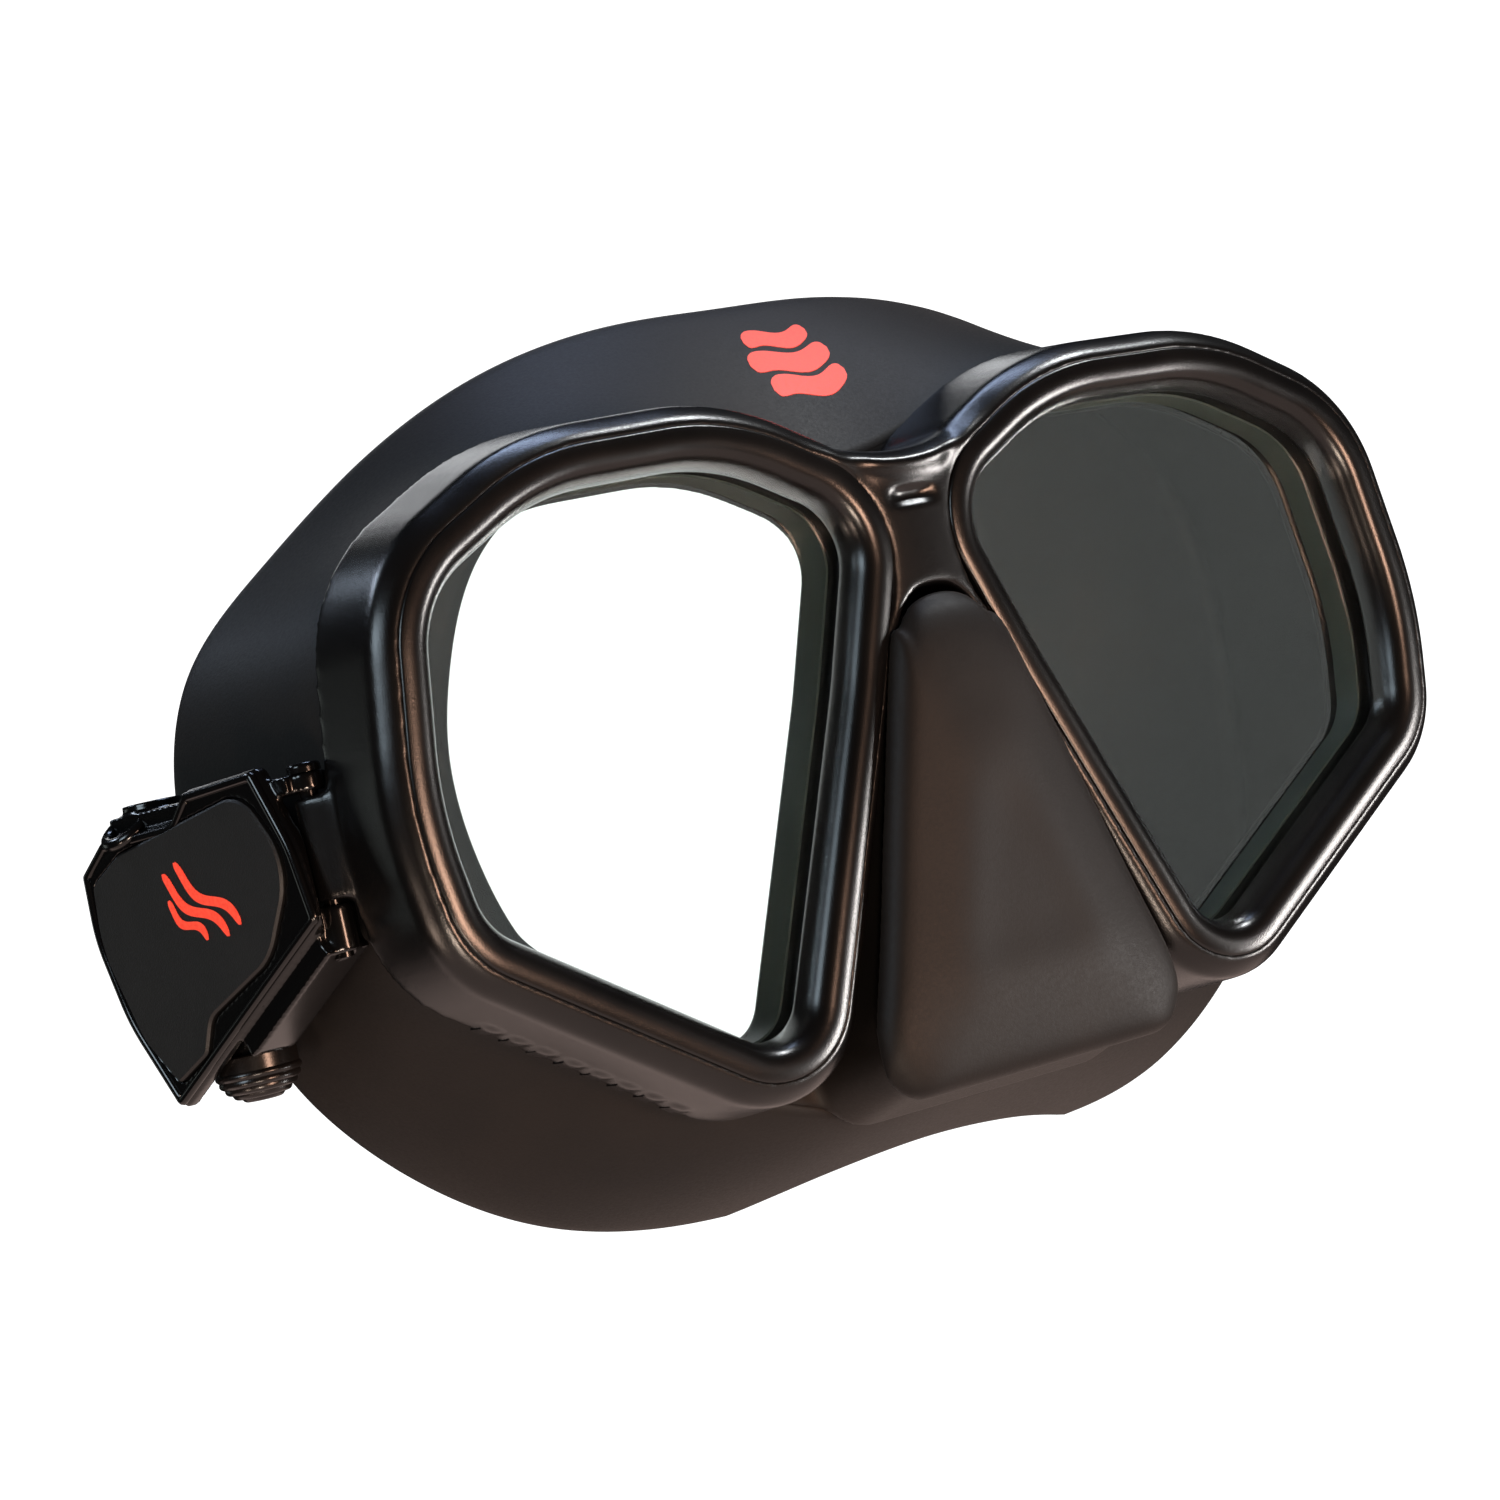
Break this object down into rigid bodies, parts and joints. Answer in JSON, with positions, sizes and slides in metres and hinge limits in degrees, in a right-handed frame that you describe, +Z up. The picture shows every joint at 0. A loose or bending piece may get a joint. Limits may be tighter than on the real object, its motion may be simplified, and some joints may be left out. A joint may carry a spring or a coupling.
{
  "type": "diving mask",
  "caption": "Two-window diving mask: glass lenses in a plastic frame with bezels, a soft skirt with a nose pocket, and swivelling side buckles with push-release strap rollers.",
  "frame": {"origin": "on the symmetry plane, level with the middle of the windows, in the plane of the lenses' front faces", "axes": "+X to the wearer's left, +Y backwards to the wearer, +Z up"},
  "size_m": [0.1688, 0.052, 0.1035],
  "materials": {
    "frame": "satin black moulding",
    "bezel": "polished black",
    "silicone": "fine matte black silicone",
    "lens": "clear tempered glass",
    "buckle": "gloss black",
    "cover": "matte black with a red emblem",
    "pin": "gloss black",
    "roller": "matte black",
    "button": "gloss black",
    "steel": "stainless"
  },
  "bodies": {
    "mask": {"frame": "frame", "left_bezel": "bezel", "right_bezel": "bezel", "left_lens": "lens", "right_lens": "lens", "skirt": "silicone"},
    "left_buckle": {"left_buckle_body": "buckle", "left_buckle_cover": "cover", "left_hinge_pin": "pin", "left_roller_axle": "pin", "left_pawl_pin": "steel", "left_button_spring": "steel"},
    "left_roller": {"left_strap_roller": "roller"},
    "left_pawl": {"left_pawl": "roller"},
    "left_button": {"left_release_button": "button"},
    "right_buckle": {"right_buckle_body": "buckle", "right_buckle_cover": "cover", "right_hinge_pin": "pin", "right_roller_axle": "pin", "right_pawl_pin": "steel", "right_button_spring": "steel"},
    "right_roller": {"right_strap_roller": "roller"},
    "right_pawl": {"right_pawl": "roller"},
    "right_button": {"right_release_button": "button"}
  },
  "joints": [
    {"name": "left_buckle_swivel", "type": "hinge", "parent": "mask", "child": "left_buckle", "pos_m": [0.07201, 0.01006, 0], "axis": [0, 0, -1], "range_deg": [0, 35]},
    {"name": "left_roller_turn", "type": "hinge", "parent": "left_buckle", "child": "left_roller", "pos_m": [0.07775, 0.03543, 0], "axis": [0, 0, 1], "continuous": true},
    {"name": "left_button_press", "type": "slide", "parent": "left_buckle", "child": "left_button", "axis": [0, 0, 1], "range_m": [0, 0.0018], "stiffness_N_per_m": 350, "springref_m": -0.002, "deforming": ["left_button_spring"]},
    {"name": "left_pawl_swing", "type": "hinge", "parent": "left_buckle", "child": "left_pawl", "pos_m": [0.07449, 0.02182, 0], "axis": [0, 0, 1], "range_deg": [0, 12.5]},
    {"name": "right_buckle_swivel", "type": "hinge", "parent": "mask", "child": "right_buckle", "pos_m": [-0.07201, 0.01006, 0], "axis": [0, 0, 1], "range_deg": [0, 35]},
    {"name": "right_roller_turn", "type": "hinge", "parent": "right_buckle", "child": "right_roller", "pos_m": [-0.07775, 0.03543, 0], "axis": [0, 0, 1], "continuous": true},
    {"name": "right_button_press", "type": "slide", "parent": "right_buckle", "child": "right_button", "axis": [0, 0, 1], "range_m": [0, 0.0018], "stiffness_N_per_m": 350, "springref_m": -0.002, "deforming": ["right_button_spring"]},
    {"name": "right_pawl_swing", "type": "hinge", "parent": "right_buckle", "child": "right_pawl", "pos_m": [-0.07449, 0.02182, 0], "axis": [0, 0, -1], "range_deg": [0, 12.5]}
  ],
  "couplings": [
    {"joint": "left_pawl_swing", "follows": "left_button_press", "rad_per_m": 116.36},
    {"joint": "right_pawl_swing", "follows": "right_button_press", "rad_per_m": 116.36}
  ]
}
